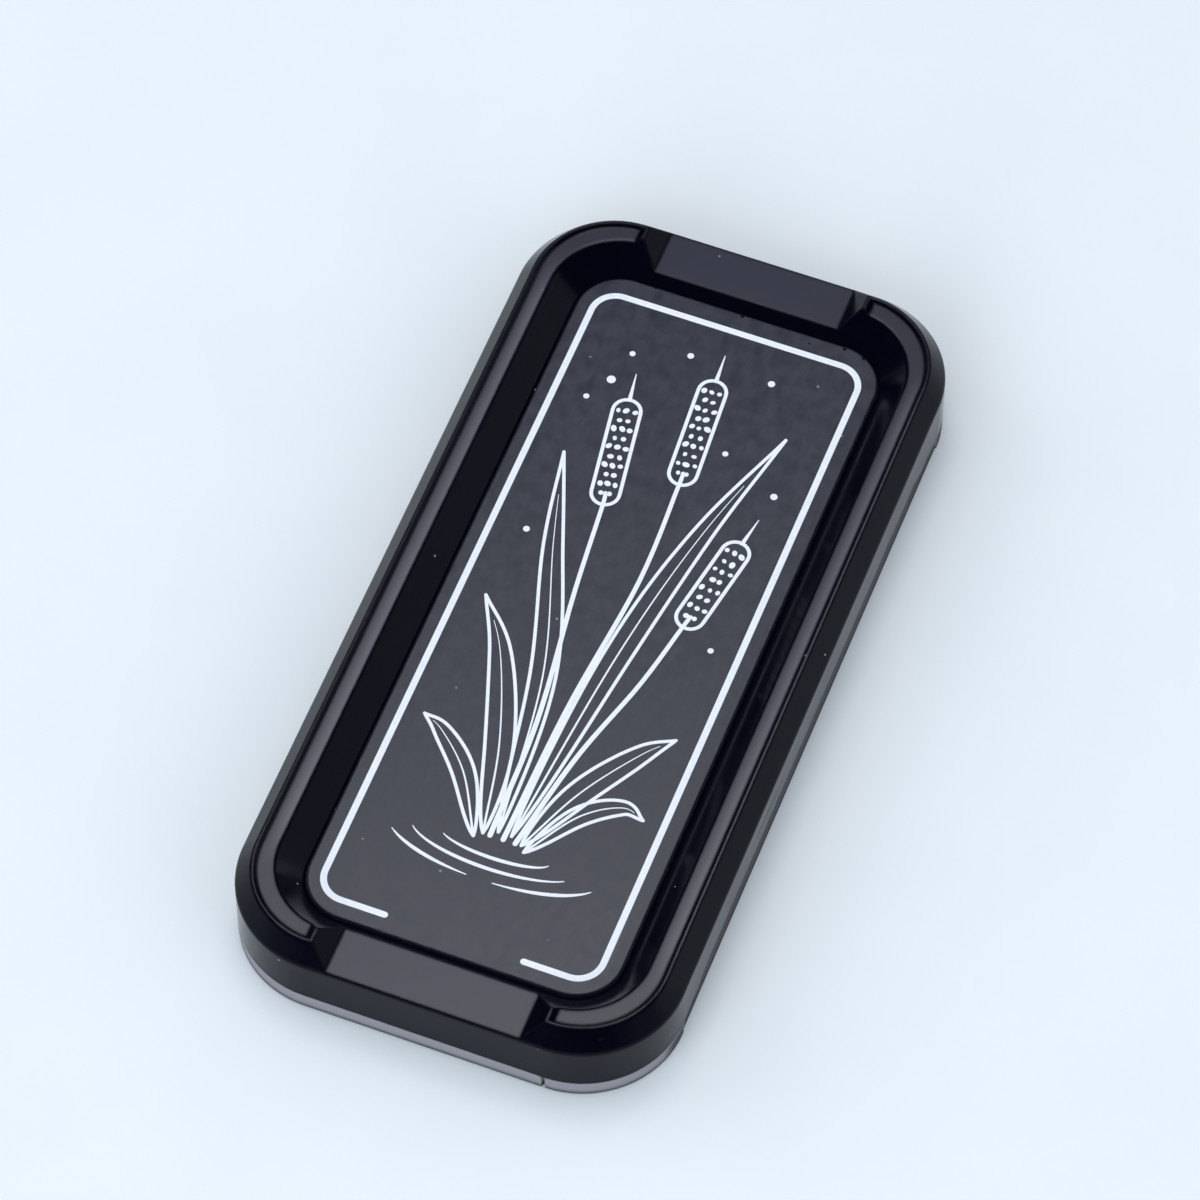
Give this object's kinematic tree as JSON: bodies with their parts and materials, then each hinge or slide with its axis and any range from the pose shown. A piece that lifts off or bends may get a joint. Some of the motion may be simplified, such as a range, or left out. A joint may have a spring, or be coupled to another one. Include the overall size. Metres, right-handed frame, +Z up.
{
  "type": "fly box",
  "caption": "Slim pocket case for fishing flies: a hinged lid with a stepped rim, end notches and an inlaid printed sheet over a shallow tray lined with magnetic sheet.",
  "frame": {"origin": "centre of the underside, where the closed case rests on a table", "axes": "+Z up, +Y along the case's length, +X towards the opening side with the finger tab; the hinge is on -X"},
  "size_m": [0.0747, 0.15, 0.0162],
  "materials": {
    "lid_plastic": "satin",
    "base_plastic": "satin",
    "panel_sheet": "matte",
    "liner_sheet": "matte",
    "seal_silicone": "matte",
    "pin_steel": "drawn wire",
    "magnet_nickel": "nickel plated",
    "white_print": "screen print"
  },
  "bodies": {
    "base": {"base_tray": "base_plastic", "base_magnet_sheet": "liner_sheet", "base_magnet_near": "magnet_nickel", "base_magnet_far": "magnet_nickel", "seal_ring": "seal_silicone", "hinge_pin_near": "pin_steel", "hinge_pin_far": "pin_steel"},
    "lid": {"lid_shell": "lid_plastic", "lid_panel": "panel_sheet", "lid_magnet_near": "magnet_nickel", "lid_magnet_far": "magnet_nickel"}
  },
  "joints": [
    {"name": "lid_hinge", "type": "hinge", "parent": "base", "child": "lid", "pos_m": [-0.0368, 0, 0.0035], "axis": [0, -1, 0], "range_deg": [0, 105]}
  ]
}
